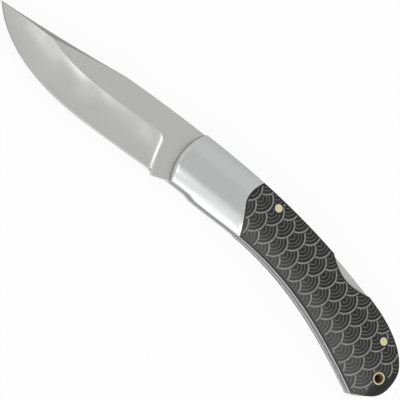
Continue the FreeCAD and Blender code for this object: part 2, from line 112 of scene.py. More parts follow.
def inside(points, loops):
    # Even and odd crossings of a ray along X, over the outline and its holes together
    odd = np.zeros(len(points), bool)
    x, y = points[:, :1], points[:, 1:]
    for loop in loops:
        following = np.roll(loop, -1, axis=0)
        rise = following[:, 1] - loop[:, 1]
        spans = (loop[:, 1] > y) != (following[:, 1] > y)
        with np.errstate(divide="ignore", invalid="ignore"):
            reach = loop[:, 0] + (y - loop[:, 1]) * (following[:, 0] - loop[:, 0]) / rise
        odd ^= (spans & (x < reach)).sum(axis=1) % 2 == 1
    return odd


def turns(loop):
    # The angle that a loop turns by at each of its points
    before = loop - np.roll(loop, 1, axis=0)
    after = np.roll(loop, -1, axis=0) - loop
    cross = before[:, 0] * after[:, 1] - before[:, 1] * after[:, 0]
    return np.arctan2(cross, (before * after).sum(axis=1))


def circle_through(first, second, third):
    first, second, third = np.array(first), np.array(second), np.array(third)
    rows = 2 * np.array([second - first, third - first])
    centre = np.linalg.solve(rows, [second @ second - first @ first, third @ third - first @ first])
    return centre, np.linalg.norm(first - centre)


def crossing(start, end, level):
    # Where level changes sign between pairs of points, by halving
    for _ in range(HALVINGS):
        middle = (start + end) / 2
        same = (level(middle) > 0) == (level(start) > 0)
        start = np.where(same[:, None], middle, start)
        end = np.where(same[:, None], end, middle)
    return middle


# Outlines, cut from the frame's own solids and drawn smoother

WELD = 0.001
STRAIGHT = 0.002
CORNER = 0.24
OUTLINE_STEP = 0.6


def cut_loops(node, height):
    solid = bmesh.new()
    solid.from_mesh(frame["nodes"][node].data)
    solid.transform(Matrix.Scale(1 / MM, 4) @ frame["nodes"][node].matrix_world)
    bmesh.ops.remove_doubles(solid, verts=solid.verts, dist=WELD)
    bmesh.ops.bisect_plane(
        solid, geom=solid.verts[:] + solid.edges[:] + solid.faces[:], plane_co=(0, 0, height),
        plane_no=(0, 0, 1), clear_inner=True, clear_outer=True,
    )
    loops = []
    unused = set(solid.edges)
    while unused:
        edge = unused.pop()
        first, vertex = edge.verts
        loop = [first]
        while vertex != first:
            loop.append(vertex)
            edge = next((other for other in vertex.link_edges if other in unused), None)
            if edge is None:
                raise RuntimeError(f"{node} has an open outline")
            unused.remove(edge)
            vertex = edge.other_vert(vertex)
        loops.append(np.array([vertex.co.xy for vertex in loop]))
    solid.free()
    return sorted(loops, key=lambda loop: -abs(area(loop)))


def smooth_run(run, step):
    # A cubic through the points, with each slope taken from its two neighbours
    gaps = np.linalg.norm(np.diff(run, axis=0), axis=1)
    reach = np.concatenate([[0], np.cumsum(gaps)])
    slopes = np.gradient(run, reach, axis=0) if len(run) > 2 else np.diff(run, axis=0)[[0, 0]] / gaps[0]
    slopes[1:-1] = (run[2:] - run[:-2]) / (reach[2:] - reach[:-2])[:, None]
    pieces = []
    for index, gap in enumerate(gaps):
        count = max(1, round(gap / step))
        share = (np.arange(count) / count)[:, None]
        rest = 1 - share
        pieces.append(
            (1 + 2 * share) * rest ** 2 * run[index] + share * rest ** 2 * gap * slopes[index]
            + share ** 2 * (3 - 2 * share) * run[index + 1] - share ** 2 * rest * gap * slopes[index + 1]
        )
    return np.concatenate(pieces)


def smooth_loop(loop, step, anticlockwise=True):
    # Smooth runs from corner to corner, or all the way round where there is no corner
    loop = loop[np.abs(turns(loop)) > STRAIGHT]
    if (area(loop) > 0) != anticlockwise:
        loop = loop[::-1]
    sharp = np.flatnonzero(np.abs(turns(loop)) > CORNER)
    if len(sharp) == 0:
        wrapped = np.concatenate([loop[-2:], loop, loop[:3]])
        count = len(smooth_run(wrapped[:3], step))
        tail = len(smooth_run(wrapped[-3:], step))
        return smooth_run(wrapped, step)[count:-tail]
    loop = np.roll(loop, -sharp[0], axis=0)
    ends = list(sharp - sharp[0]) + [len(loop)]
    ring = closed(loop)
    runs = [smooth_run(ring[start:end + 1], step) for start, end in zip(ends, ends[1:])]
    return np.concatenate(runs)


def outlines(node, height, smallest_hole):
    loops = cut_loops(node, height)
    holes = [loop for loop in loops[1:] if abs(area(loop)) > smallest_hole]
    outer = smooth_loop(loops[0], OUTLINE_STEP)
    return [outer] + [smooth_loop(hole, OUTLINE_STEP, anticlockwise=False) for hole in holes]


# Plates: a filled outline with a height at every point

LEAST_MITRE_COSINE = 0.5
RIM_ANGLES = np.linspace(0, math.pi / 2, 6)[1:]
FILL_MERGE = 1e-5


def grid(loops, step, margin):
    # Loose points inside an outline, in rows of triangles
    low = loops[0].min(axis=0)
    high = loops[0].max(axis=0)
    rows = np.arange(low[1], high[1], step * math.sqrt(3) / 2)
    points = []
    for index, row in enumerate(rows):
        columns = np.arange(low[0] + (index % 2) * step / 2, high[0], step)
        points.append(np.stack([columns, np.full(len(columns), row)], axis=1))
    points = np.concatenate(points)
    points = points[inside(points, loops)]
    for loop in loops:
        points = points[distance(points, closed(loop)) > margin]
    return points


def inward(loop):
    # The way into the outline at each point, longer at corners so that the walls stay parallel
    before = unit(loop - np.roll(loop, 1, axis=0))
    after = unit(np.roll(loop, -1, axis=0) - loop)
    stretch = 1 / np.maximum(np.cos(turns(loop) / 2), LEAST_MITRE_COSINE)
    return left_of(unit(before + after)) * stretch[:, None]


def rim_rows(loop, radius):
    # Rows of a quarter round from the wall to the top, with each row's drop below the top
    rows = []
    for angle in RIM_ANGLES:
        inset = radius * (1 - math.cos(angle))
        drop = radius * (1 - math.sin(angle))
        rows.append((loop + inward(loop) * inset[:, None], drop))
    return rows


def fill(loops, rings, lines, loose):
    # Triangles inside the loops, with an edge along every ring and line and a corner at every loose point
    chains = [(loop, True) for loop in loops + rings] + [(line, False) for line in lines]
    points = []
    edges = []
    spans = []
    for chain, is_closed in chains:
        span = list(range(len(points), len(points) + len(chain)))
        edges += list(zip(span, span[1:]))
        if is_closed:
            edges.append((span[-1], span[0]))
        points += list(chain)
        spans.append(span)
    points += list(loose)
    vectors = [Vector(point) for point in points]
    flat, _, triangles, origins, _, _ = delaunay_2d_cdt(vectors, edges, [], 0, FILL_MERGE)
    flat = np.array(flat)
    triangles = np.array(triangles)
    triangles = triangles[inside(flat[triangles].mean(axis=1), loops)]
    index_of = {origin: index for index, listed in enumerate(origins) for origin in listed}
    walls = [[index_of[origin] for origin in span] for span in spans[:len(loops)]]
    return flat, triangles, walls, index_of, spans


def make_piece(name, vertices, faces, sharp_angle):
    mesh = bpy.data.meshes.new(name)
    mesh.from_pydata((np.asarray(vertices) * MM).tolist(), [], faces)
    solid = bmesh.new()
    solid.from_mesh(mesh)
    loose = [vertex for vertex in solid.verts if not vertex.link_faces]
    bmesh.ops.delete(solid, geom=loose, context="VERTS")
    bmesh.ops.recalc_face_normals(solid, faces=solid.faces)
    for face in solid.faces:
        face.smooth = True
    for edge in solid.edges:
        edge.smooth = edge.calc_face_angle(math.pi) < sharp_angle
    solid.to_mesh(mesh)
    solid.free()
    piece = bpy.data.objects.new(name, mesh)
    bpy.context.scene.collection.objects.link(piece)
    return piece


def make_plate(name, side, loops, rim, lines, loose, top, bottom, sharp_angle):
    # A closed solid between two heights, mirrored about the middle for the reverse side
    rows = rim_rows(loops[0], rim) if rim is not None else []
    flat, triangles, walls, index_of, spans = fill(loops, [row for row, _ in rows], lines, loose)
    drop = np.zeros(len(flat))
    if rim is not None:
        drop[walls[0]] = rim
    for span, (_, row_drop) in zip(spans[len(loops):], rows):
        drop[[index_of[origin] for origin in span]] = row_drop
    upper = top(flat) - drop
    lower = bottom(flat)
    count = len(flat)
    heights = MIDDLE + side * (np.concatenate([upper, lower]) - MIDDLE)
    vertices = np.column_stack([np.concatenate([flat, flat]), heights])
    faces = triangles.tolist() + (triangles[:, ::-1] + count).tolist()
    for wall in walls:
        for here, there in zip(wall, wall[1:] + wall[:1]):
            faces.append((here, here + count, there + count, there))
    return make_piece(name, vertices, faces, sharp_angle)


def face_normals(piece):
    return np.array([face.normal for face in piece.data.polygons])


def give_finishes(piece, first, second, has_second):
    piece.data.materials.append(first)
    piece.data.materials.append(second)
    for face, is_second in zip(piece.data.polygons, has_second):
        face.material_index = int(is_second)


# Crown of the handle: a round section along the bent handle, flat on top, that falls away at the butt

CROWN_RADIUS = 25.0
CROWN_FLAT_DEPTH = 0.25
CROWN_BEND_REACH = 12.0
CROWN_TUBE_RISE = 1.1
# Three points of the butt's fall: how far past the rear, and how high against the crown's top
BUTT_FALL = ((-7.0, 0.105), (-2.45, -0.882), (2.1, -3.549))
BUTT_ANGLE = math.radians(-25.0)
REAR_ABOVE_TUBE = 1.2
CROWN_LINE_POINTS = 300


def draw_crown_line():
    low, high = corners("show_bolster")
    level = (low[1] + high[1]) / 2
    bend = PIVOT[0] + CROWN_BEND_REACH
    fall = level - TUBE[1] - CROWN_TUBE_RISE
    x = np.linspace(low[0] - CROWN_RADIUS, REAR_REACH + CROWN_RADIUS, CROWN_LINE_POINTS)
    share = np.maximum(x - bend, 0) / (TUBE[0] - bend)
    return np.stack([x, level - fall * share ** 2], axis=1)


CROWN_LINE = draw_crown_line()
FALL_CENTRE, FALL_RADIUS = circle_through(*BUTT_FALL)
REAR = np.array([REAR_REACH, TUBE[1] + REAR_ABOVE_TUBE])


def fall_depth(points):
    # How far the butt's fall lies above the crown's flat, and high above it where it has not begun
    reach = (points - REAR) @ direction(BUTT_ANGLE)
    height = FALL_CENTRE[1] + np.sqrt(np.maximum(FALL_RADIUS ** 2 - (reach - FALL_CENTRE[0]) ** 2, 0))
    return np.where(reach > BUTT_FALL[0][0], height, CROWN_RADIUS)


def crown_height(points):
    off = distance(points, CROWN_LINE)
    round_top = CROWN_FLAT_DEPTH - CROWN_RADIUS + np.sqrt(CROWN_RADIUS ** 2 - off ** 2)
    return CROWN_TOP + np.minimum(0, np.minimum(round_top, fall_depth(points)))


def liner_height(points):
    return np.full(len(points), LINER_FACE)


# Bolsters and scales: the frame's outlines with the crown, a rounded rim and a close joint between them

CUT_ABOVE_LINER = 0.2
SMALLEST_HOLE_AREA = 5.0
COVERED_HOLE_AREA = 30.0
COVER_LIFT = 0.015
BOLSTER_RIM = 0.12
SCALE_RIM = 0.3
# A face whose normal rises less than this is part of the edge round a plate
EDGE_SLOPE = 0.6
JOINT_RIM = 0.06
JOINT_REACH = 0.15
PLATE_STEP = 1.0
PLATE_SHARP = math.radians(35)

BOLSTER_LOOPS = outlines("show_bolster", LINER_FACE + CUT_ABOVE_LINER, COVERED_HOLE_AREA)
SCALE_LOOPS = outlines("show_scale", LINER_FACE + CUT_ABOVE_LINER, SMALLEST_HOLE_AREA)


def bolster_height(points):
    # The pivot pin is peened and polished over, so the bolster's skin lies just above its end
    return crown_height(points) + COVER_LIFT


def handle_plate(name, node, side, loops, neighbour, rim_radius, height):
    at_joint = distance(loops[0], closed(neighbour)) < JOINT_REACH
    rim = np.where(at_joint, JOINT_RIM, rim_radius)
    loose = grid(loops, PLATE_STEP, rim_radius + PLATE_STEP / 2)
    piece = make_plate(name, side, loops, rim, [], loose, height, liner_height, PLATE_SHARP)
    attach(piece, "handle")
    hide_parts(node)
    return piece


def make_bolster(name, side):
    # Polished, with the wall at the front satin and painted pale, a painted light over the shade between
    # the bolster and the blade
    piece = handle_plate(
        f"{name}_bolster_crown", f"{name}_bolster", side, BOLSTER_LOOPS, SCALE_LOOPS[0], BOLSTER_RIM,
        bolster_height,
    )
    normals = face_normals(piece)
    is_front = (np.abs(normals[:, 2]) < EDGE_SLOPE) & (normals[:, 0] < 0)
    give_finishes(piece, bolster_steel, bolster_front_painted_light, is_front)


def make_scale(name, side):
    # Glossy, with a sanded edge all round
    piece = handle_plate(
        f"{name}_scale_crown", f"{name}_scale", side, SCALE_LOOPS, BOLSTER_LOOPS[0], SCALE_RIM,
        crown_height,
    )
    is_edge = np.abs(face_normals(piece)[:, 2]) < EDGE_SLOPE
    give_finishes(piece, scale_black, scale_edge, is_edge)


# Waves on the scales: rows of overlapping rings, each row covered by the row nearer the bolster

WAVE_ANGLE = math.radians(-12.25)
WAVE_RADIUS = 5.35
WAVE_STEP = 5.97
WAVE_COLUMN_STEP = 6.33
WAVE_APEX = np.array([41.6, 9.2])
# How far each ring lies inside the outer radius
WAVE_RINGS = {"wide": (0.22,), "fine": (1.66, 2.85, 4.2)}
WAVE_WIDTHS = {"wide": 0.72, "fine": 0.4}
WAVE_EDGE = {"wide": 0.1, "fine": 0.08}
WAVE_PROUD = 0.025
WAVE_SUNK = 0.06
WAVE_SAMPLE = 0.35
WAVE_MARGIN = 0.45
WAVE_BELLY_MARGIN = 0.6
WAVE_PIN_MARGIN = 0.35
WAVE_AHEAD = WAVE_STEP / 4
WAVE_SHARP = math.radians(30)
LEAST_RUN_POINTS = 3
BUTT_PLAIN_FALL = -0.6


def wave_centres():
    # Columns across the handle, every other one moved by half a step
    along = direction(WAVE_ANGLE)
    across = left_of(along)
    first = WAVE_APEX - WAVE_RADIUS * along
    low = SCALE_LOOPS[0].min(axis=0) - 2 * WAVE_RADIUS
    high = SCALE_LOOPS[0].max(axis=0) + 2 * WAVE_RADIUS
    reach = math.ceil(np.linalg.norm(high - low) / WAVE_STEP)
    centres = []
    for column in range(-reach, reach + 1):
        for row in range(-reach, reach + 1):
            step = row + (column % 2) / 2
            centre = first + WAVE_STEP * step * along + WAVE_COLUMN_STEP * column * across
            if (centre > low).all() and (centre < high).all():
                centres.append(centre)
    return np.array(centres)


WAVE_CENTRES = wave_centres()


def wave_shows(points, centre):
    # Clear of the rim, the pins and the plain butt, and not covered by the rings nearer the bolster
    along = direction(WAVE_ANGLE)
    shows = inside(points, SCALE_LOOPS)
    on_belly_side = points[:, 1] < np.interp(points[:, 0], CROWN_LINE[:, 0], CROWN_LINE[:, 1])
    margin = np.where(on_belly_side, WAVE_BELLY_MARGIN, WAVE_MARGIN)
    shows &= distance(points, closed(SCALE_LOOPS[0])) > margin
    for hole in SCALE_LOOPS[1:]:
        shows &= distance(points, closed(hole)) > WAVE_PIN_MARGIN
    shows &= fall_depth(points) > BUTT_PLAIN_FALL
    for other in WAVE_CENTRES:
        apart = other - centre
        if apart @ along < -WAVE_AHEAD and np.linalg.norm(apart) < 2 * WAVE_RADIUS:
            shows &= np.linalg.norm(points - other, axis=1) > WAVE_RADIUS
    return shows


def shown_runs(points, shows):
    breaks = np.flatnonzero(np.diff(shows.astype(int))) + 1
    for run, flag in zip(np.split(points, breaks), np.split(shows, breaks)):
        if flag[0] and len(run) >= LEAST_RUN_POINTS:
            yield run


def wave_arcs(insets):
    for centre in WAVE_CENTRES:
        for inset in insets:
            radius = WAVE_RADIUS - inset
            count = math.ceil(math.pi * radius / WAVE_SAMPLE)
            angles = WAVE_ANGLE + np.linspace(-math.pi / 2, math.pi / 2, count)
            points = centre + radius * np.stack([np.cos(angles), np.sin(angles)], axis=1)
            yield from shown_runs(points, wave_shows(points, centre))


def wave_ribbon(run, width, edge):
    # A low bar along the run: sunk feet, a bevel each side and a flat top
    across = left_of(unit(np.gradient(run, axis=0)))
    offsets = (-width / 2, edge - width / 2, width / 2 - edge, width / 2)
    lifts = (-WAVE_SUNK, WAVE_PROUD, WAVE_PROUD, -WAVE_SUNK)
    strands = []
    for offset, lift in zip(offsets, lifts):
        strand = run + offset * across
        strands.append(np.column_stack([strand, crown_height(strand) + lift]))
    vertices = np.concatenate(strands)
    count = len(run)
    starts = [strand * count for strand in range(len(strands))]
    faces = []
    for here, there in zip(starts, starts[1:] + starts[:1]):
        faces += [(here + i, here + i + 1, there + i + 1, there + i) for i in range(count - 1)]
    faces.append(tuple(starts))
    faces.append(tuple(start + count - 1 for start in starts))
    return vertices, faces


WAVE_RUNS = {weight: list(wave_arcs(insets)) for weight, insets in WAVE_RINGS.items()}


def make_waves(name, side, weight):
    vertices = []
    faces = []
    for run in WAVE_RUNS[weight]:
        ribbon, ribbon_faces = wave_ribbon(run, WAVE_WIDTHS[weight], WAVE_EDGE[weight])
        first = sum(len(part) for part in vertices)
        vertices.append(ribbon)
        faces += [tuple(first + index for index in face) for face in ribbon_faces]
    vertices = np.concatenate(vertices)
    vertices[:, 2] = MIDDLE + side * (vertices[:, 2] - MIDDLE)
    piece = make_piece(f"{name}_{weight}_waves", vertices, faces, WAVE_SHARP)
    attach(piece, "handle")
    piece.data.materials.append(wave_materials[weight])


# Blade: hollow grind from the edge up to the grind line, plunge rounded by the wheel, swedge along the clip

HEEL = PIVOT + np.array([-15.8, -9.3])
CLIP = PIVOT + np.array([-43.0, 11.75])
EDGE_LAND = 0.1
BEVEL_WIDTH = 0.6
BEVEL_LAND = 0.55
GRIND_WIDTH = 13.75
GRIND_RUN_OUT = 1.0
GRIND_RUN_OUT_RISE = 0.2
HOLLOW_DEPTH = 0.3
PLUNGE_ANGLE = math.radians(15)
PLUNGE_FOOT = HEEL + np.array([3.8, 0.0])
WHEEL_ROUND = 5.0
COVE_SHARES = (0.1, 0.2, 0.33, 0.48, 0.65, 0.83)
CORNER_SHARE = 0.7
SWEDGE_DROP = 3.6
SWEDGE_TIP_LAND = 0.14
BLADE_SHARP = math.radians(7)

# Where the blade's mesh has its points
BLADE_STEP = 0.9
TANG_STEP = 1.2 * BLADE_STEP
ROWS_START = 1.2
ROWS_END = 26.0
LINE_GAP = 0.3
LINE_END_GAP = 0.1
SHOULDER_GAP = 0.2
SHOULDER_START = 0.3
PLUNGE_START = 0.3
PLUNGE_STEP = 0.5
PLUNGE_OVERRUN = 0.5
RIDGE_START = 3.0
RIDGE_OVERRUN = 2.0
RIDGE_SWEDGE_GAP = 0.02
COVE_START = 0.2
COVE_STEP = 0.7
COVE_OVERRUN = 12.0
COVE_GAP = 0.12

BLADE_LOOPS = outlines("blade", MIDDLE + EDGE_LAND / 4, SMALLEST_HOLE_AREA)
BLADE_HALF = (corners("blade")[1][2] - corners("blade")[0][2]) / 2
TIP = BLADE_LOOPS[0][BLADE_LOOPS[0][:, 0].argmin()]


def cutting_edge():
    # From the tip anticlockwise to the heel, then turned round
    loop = BLADE_LOOPS[0]
    loop = np.roll(loop, -loop[:, 0].argmin(), axis=0)
    heel = np.linalg.norm(loop - HEEL, axis=1).argmin()
    return loop[heel::-1]


EDGE = cutting_edge()
BEVEL_HEIGHT = BEVEL_WIDTH * math.cos(PLUNGE_ANGLE)
BEVEL_TOP = (BEVEL_WIDTH, BEVEL_LAND / 2)
GRIND_TOP = (GRIND_WIDTH + GRIND_RUN_OUT, BLADE_HALF + GRIND_RUN_OUT_RISE)
HOLLOW_LOW = ((BEVEL_TOP[0] + GRIND_TOP[0]) / 2, (BEVEL_TOP[1] + GRIND_TOP[1]) / 2 - HOLLOW_DEPTH)
HOLLOW_CENTRE, HOLLOW_RADIUS = circle_through(BEVEL_TOP, HOLLOW_LOW, GRIND_TOP)
PLUNGE_NORMAL = direction(math.pi + PLUNGE_ANGLE)
SWEDGE_RUN = unit(CLIP - TIP + np.array([0, SWEDGE_DROP]))
SWEDGE_NORMAL = left_of(SWEDGE_RUN)
SWEDGE_FALL = (BLADE_HALF - SWEDGE_TIP_LAND / 2) / ((TIP - CLIP) @ SWEDGE_NORMAL)


def past_plunge(points):
    # How far towards the tip a point lies from the plunge's foot
    return (points - PLUNGE_FOOT) @ PLUNGE_NORMAL


def ground_half(points):
    # Half the thickness that the edge bevel, the hollow and the wheel's round leave
    reach = distance(points, EDGE) / math.cos(PLUNGE_ANGLE)
    bevel = (EDGE_LAND + (BEVEL_LAND - EDGE_LAND) * reach / BEVEL_WIDTH) / 2
    hollow_drop = np.sqrt(np.maximum(HOLLOW_RADIUS ** 2 - (reach - HOLLOW_CENTRE[0]) ** 2, 0))
    hollow = np.where(reach < GRIND_TOP[0], HOLLOW_CENTRE[1] - hollow_drop, GRIND_TOP[1])
    past = past_plunge(points)
    inside_wheel = np.clip(WHEEL_ROUND - past, 0, WHEEL_ROUND)
    wheel = WHEEL_ROUND - np.sqrt(WHEEL_ROUND ** 2 - inside_wheel ** 2)
    wheel = np.where(past < 0, 2 * WHEEL_ROUND, wheel)
    return np.where(reach < BEVEL_WIDTH, bevel, hollow) + wheel


def swedge_half(points):
    return BLADE_HALF - SWEDGE_FALL * ((points - CLIP) @ SWEDGE_NORMAL)


def blade_half(points):
    return np.minimum(np.minimum(BLADE_HALF, ground_half(points)), swedge_half(points))


def blade_top(points):
    return MIDDLE + blade_half(points)


def blade_bottom(points):
    return MIDDLE - blade_half(points)


def off_edge(height):
    # The edge moved into the blade by a height
    slope = unit(np.gradient(EDGE, axis=0))
    return EDGE - height * left_of(slope)


def clear_of(points, lines, gap):
    # The points that lie in the blade and off its outline and the lines
    points = points[inside(points, BLADE_LOOPS)]
    for line in [closed(loop) for loop in BLADE_LOOPS] + lines:
        points = points[distance(points, line) > gap]
    return points


def above_ground(points):
    # How far the flat lies outside the grind
    return BLADE_HALF - ground_half(points)


def above_swedge(points):
    # How far the swedge's plane lies outside the flat and the grind
    return swedge_half(points) - np.minimum(BLADE_HALF, ground_half(points))


def shoulder_line():
    # Where the edge bevel meets the hollow
    shoulder = clear_of(off_edge(BEVEL_HEIGHT), [], SHOULDER_GAP)
    return shoulder[past_plunge(shoulder) > SHOULDER_START]


def grind_line():
    # Where the grind meets the flat: up the plunge, round its corner and along the ridge to the swedge
    corner = CORNER_SHARE * WHEEL_ROUND
    heights = np.arange(PLUNGE_START, GRIND_WIDTH, PLUNGE_STEP)
    to_tip = -direction(0)
    foot = PLUNGE_FOOT - heights[:, None] * left_of(PLUNGE_NORMAL)
    plunge = crossing(
        foot - PLUNGE_OVERRUN * to_tip, foot + (WHEEL_ROUND + PLUNGE_OVERRUN) * to_tip, above_ground,
    )
    plunge = plunge[past_plunge(plunge) < corner]
    ridge = crossing(off_edge(RIDGE_START), off_edge(GRIND_WIDTH + RIDGE_OVERRUN), above_ground)
    ridge = ridge[past_plunge(ridge) > corner + LINE_GAP]
    ridge = ridge[swedge_half(ridge) > BLADE_HALF + RIDGE_SWEDGE_GAP]
    return clear_of(np.concatenate([plunge, ridge]), [], LINE_END_GAP)


def swedge_line():
    # Where the swedge meets the flat and the hollow
    length = np.linalg.norm(CLIP - TIP)
    stations = CLIP - np.arange(BLADE_STEP, length, BLADE_STEP)[:, None] * SWEDGE_RUN
    reach = SWEDGE_DROP * SWEDGE_NORMAL
    line = crossing(stations - reach, stations + reach, above_swedge)
    return clear_of(line, [], LINE_END_GAP)


def blade_points(lines):
    # Rows along the edge in the grind, an even grid in the tang and close rows in the plunge's round
    rows = [off_edge(height) for height in np.arange(ROWS_START, ROWS_END, BLADE_STEP)]
    spread = clear_of(np.concatenate(rows), lines, LINE_GAP)
    spread = spread[past_plunge(spread) > WHEEL_ROUND]
    tang = grid(BLADE_LOOPS, TANG_STEP, LINE_GAP)
    tang = clear_of(tang[past_plunge(tang) < 0], lines, LINE_GAP)
    heights = np.arange(COVE_START, GRIND_WIDTH + COVE_OVERRUN, COVE_STEP)
    cove = []
    for share in COVE_SHARES:
        row = PLUNGE_FOOT + share * WHEEL_ROUND * PLUNGE_NORMAL
        cove.append(row - heights[:, None] * left_of(PLUNGE_NORMAL))
    cove = clear_of(np.concatenate(cove), lines, COVE_GAP)
    return np.concatenate([spread, tang, cove])


def is_facet(points):
    # On the swedge or the edge bevel
    return (above_swedge(points) < 0) | (distance(points, EDGE) < BEVEL_HEIGHT)


def make_blade():
    lines = [shoulder_line(), grind_line(), swedge_line()]
    loose = blade_points(lines)
    piece = make_plate(
        "ground_blade", 1, BLADE_LOOPS, None, lines, loose, blade_top, blade_bottom, BLADE_SHARP,
    )
    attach(piece, "blade")
    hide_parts("blade")
    centres = np.array([face.center.xy for face in piece.data.polygons]) / MM
    give_finishes(piece, blade_steel, facet_steel, is_facet(centres))


# Materials

NOISE_LOW = 0.3
NOISE_HIGH = 0.7
NOISE_DETAIL = 4.0
LINE_DEPTH = 0.0001

# About how many times a metre the grain changes along X, Y and Z
GRAIN_ACROSS_BLADE = (4000, 120, 120)
GRAIN_ALONG_FACETS = (120, 3000, 120)
GRAIN_ALONG_BOLSTER = (120, 2500, 120)
GRAIN_ROUND_FRONT = (120, 120, 2500)
GRAIN_ALONG_FRAME = (100, 2500, 2500)
GRAIN_EVEN = (1500, 1500, 1500)
GRIND_WAVES = (55, 75, 75)
SCALE_MOTTLE = (300, 300, 300)
WAVE_MOTTLE = (900, 900, 900)

GROUND_DEPTH = 0.000012
GRIND_WAVE_DEPTH = 0.28
GRIND_WAVE_DETAIL = 1.0

BRASS = (0.8, 0.77, 0.47)
BRASS_METALLIC = 0.6
BRASS_ROUGHNESS = 0.25
BRASS_GRAIN = 0.05
PIN_DEPTH = 0.00003
TUBE_SPECULAR = 0.05
# Painted shade for the inside of the lanyard tube's bore
BORE_PAINTED_SHADE = (0.4, 0.28, 0.19)
BORE_RADIUS = 1.85
BORE_METALLIC = 0.0
BORE_ROUGHNESS = 0.9

# The painted sheen on a scale, a paler colour where the glare of the lamps falls, falls off along a way,
# from where it is full to where it is gone
PaintedSheenFall = namedtuple("PaintedSheenFall", "way full gone")
PAINTED_SHEEN_TO_SPINE = PaintedSheenFall(way=(0.21, 0.98, 0.0), full=6.0, gone=17.0)
PAINTED_SHEEN_TO_BUTT = PaintedSheenFall(way=(1.0, 0.0, 0.0), full=88.0, gone=95.0)
SCALE_BLACK = 0.003
SCALE_PAINTED_SHEEN = 0.03

WAVE_TINT = (1.0, 0.99, 0.95)
WAVE_SHADES = {"wide": 0.24, "fine": 0.13}
WAVE_SPOT_SHARES = {"A": 0.8, "B": 1.2}
WAVE_SPECULAR = 0.4
WAVE_ROUGHNESS = 0.4


def new_material(name):
    material = bpy.data.materials.new(name)
    material.use_nodes = True
    return material, material.node_tree.nodes, material.node_tree.links


def streaks(nodes, links, stretch, low=0.0, high=1.0, detail=NOISE_DETAIL):
    # Noise drawn out by the stretch, as values between low and high
    place = nodes.new("ShaderNodeTexCoord")
    mapping = nodes.new("ShaderNodeMapping")
    mapping.inputs["Scale"].default_value = stretch
    noise = nodes.new("ShaderNodeTexNoise")
    noise.inputs["Scale"].default_value = 1.0
    noise.inputs["Detail"].default_value = detail
    levels = nodes.new("ShaderNodeMapRange")
    levels.inputs["From Min"].default_value = NOISE_LOW
    levels.inputs["From Max"].default_value = NOISE_HIGH
    levels.inputs["To Min"].default_value = low
    levels.inputs["To Max"].default_value = high
    links.new(place.outputs["Object"], mapping.inputs["Vector"])
    links.new(mapping.outputs["Vector"], noise.inputs["Vector"])
    links.new(noise.outputs["Fac"], levels.inputs["Value"])
    return levels.outputs["Result"]


def bump(nodes, links, shader, height, depth):
    # Laid over any bump that the shader has already
    node = nodes.new("ShaderNodeBump")
    node.inputs["Distance"].default_value = depth
    links.new(height, node.inputs["Height"])
    for link in shader.inputs["Normal"].links:
        links.new(link.from_socket, node.inputs["Normal"])
    links.new(node.outputs["Normal"], shader.inputs["Normal"])


def metal(name, colour, roughness, stretch, grain, metallic=1.0, depth=LINE_DEPTH):
    # Roughness that varies by the grain, and finer lines that are cut to the depth
    material, nodes, links = new_material(name)
    shader = nodes["Principled BSDF"]
    shader.inputs["Base Color"].default_value = (*colour, 1)
    shader.inputs["Metallic"].default_value = metallic
    rough = streaks(nodes, links, stretch, roughness - grain, roughness + grain)
    links.new(rough, shader.inputs["Roughness"])
    lines = streaks(nodes, links, tuple(2 * changes for changes in stretch))
    bump(nodes, links, shader, lines, depth * MM)
    return material


def make_blade_material():
    # Finely ground across the blade, with the slow waves that a hand-held grind leaves
    material = metal(
        "blade_steel", colour=(0.66, 0.66, 0.645), roughness=0.26, stretch=GRAIN_ACROSS_BLADE, grain=0.012,
        depth=GROUND_DEPTH,
    )
    nodes = material.node_tree.nodes
    links = material.node_tree.links
    waves = streaks(nodes, links, GRIND_WAVES, detail=GRIND_WAVE_DETAIL)
    bump(nodes, links, nodes["Principled BSDF"], waves, GRIND_WAVE_DEPTH * MM)
    return material


def make_tube_material():
    # Brass, with painted shade inside the bore: dark brown, rough and not metallic
    material = metal("tube_brass", BRASS, BRASS_ROUGHNESS, GRAIN_EVEN, BRASS_GRAIN)
    nodes = material.node_tree.nodes
    links = material.node_tree.links
    shader = nodes["Principled BSDF"]
    place = nodes.new("ShaderNodeNewGeometry")
    from_axis = nodes.new("ShaderNodeVectorMath")
    from_axis.operation = "SUBTRACT"
    from_axis.inputs[1].default_value = (TUBE[0] * MM, TUBE[1] * MM, 0)
    flatten = nodes.new("ShaderNodeVectorMath")
    flatten.operation = "MULTIPLY"
    flatten.inputs[1].default_value = (1, 1, 0)
    radius = nodes.new("ShaderNodeVectorMath")
    radius.operation = "LENGTH"
    within = nodes.new("ShaderNodeMath")
    within.operation = "LESS_THAN"
    within.inputs[1].default_value = BORE_RADIUS * MM
    colour = nodes.new("ShaderNodeMix")
    colour.data_type = "RGBA"
    colour.inputs["A"].default_value = (*BRASS, 1)
    colour.inputs["B"].default_value = (*BORE_PAINTED_SHADE, 1)
    links.new(place.outputs["Position"], from_axis.inputs[0])
    links.new(from_axis.outputs["Vector"], flatten.inputs[0])
    links.new(flatten.outputs["Vector"], radius.inputs[0])
    links.new(radius.outputs["Value"], within.inputs[0])
    links.new(within.outputs["Value"], colour.inputs["Factor"])
    links.new(colour.outputs["Result"], shader.inputs["Base Color"])
    shader.inputs["Specular IOR Level"].default_value = TUBE_SPECULAR
    for socket, outside, inside_bore in (
        ("Metallic", BRASS_METALLIC, BORE_METALLIC), ("Roughness", BRASS_ROUGHNESS, BORE_ROUGHNESS),
    ):
        change = nodes.new("ShaderNodeMapRange")
        change.inputs["To Min"].default_value = outside
        change.inputs["To Max"].default_value = inside_bore
        links.new(within.outputs["Value"], change.inputs["Value"])
        links.new(change.outputs["Result"], shader.inputs[socket])
    return material


